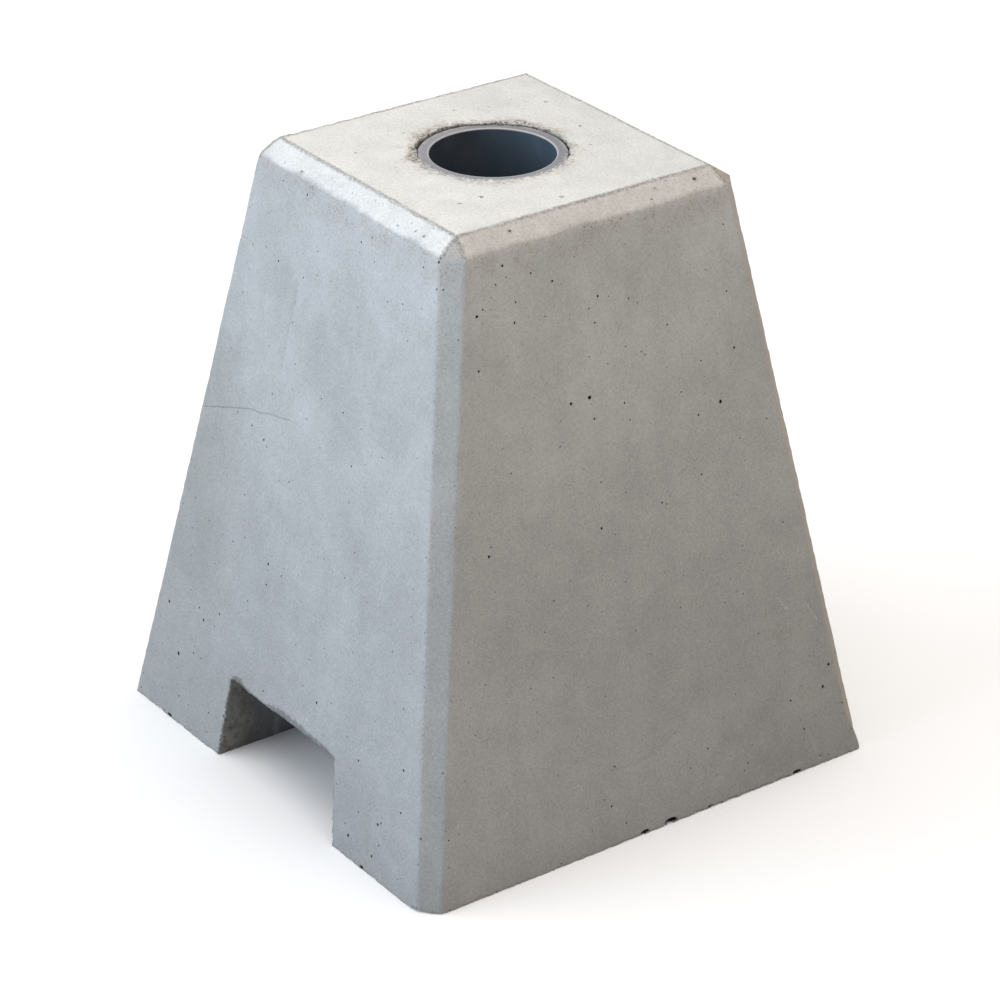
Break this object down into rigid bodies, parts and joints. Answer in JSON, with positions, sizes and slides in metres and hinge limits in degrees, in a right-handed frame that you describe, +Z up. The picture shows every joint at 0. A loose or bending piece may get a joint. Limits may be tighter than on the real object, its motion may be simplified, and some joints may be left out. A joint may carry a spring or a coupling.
{
  "type": "post base block",
  "caption": "Tapered square cast concrete base block with chamfered edges, a plastic sleeve pipe for a post down its middle and a finger channel through its foot.",
  "frame": {"origin": "middle of the underside, on the sleeve's axis, where the block stands on the ground", "axes": "+Z up along the sleeve; the finger channel runs along Y, and -Y is the front face with the broken channel lip; +X is the block's right as seen from the front"},
  "size_m": [0.227, 0.227, 0.26],
  "materials": {
    "concrete": "pale grey cast concrete, form-smooth and mottled, small bug holes, worn edges, dusty creamy top",
    "sleeve_plastic": "grey rigid plastic pipe, sawn end with a pale worn inner edge, dusted with cement"
  },
  "bodies": {
    "root": {"concrete_block": "concrete", "sleeve_pipe": "sleeve_plastic"}
  },
  "joints": []
}
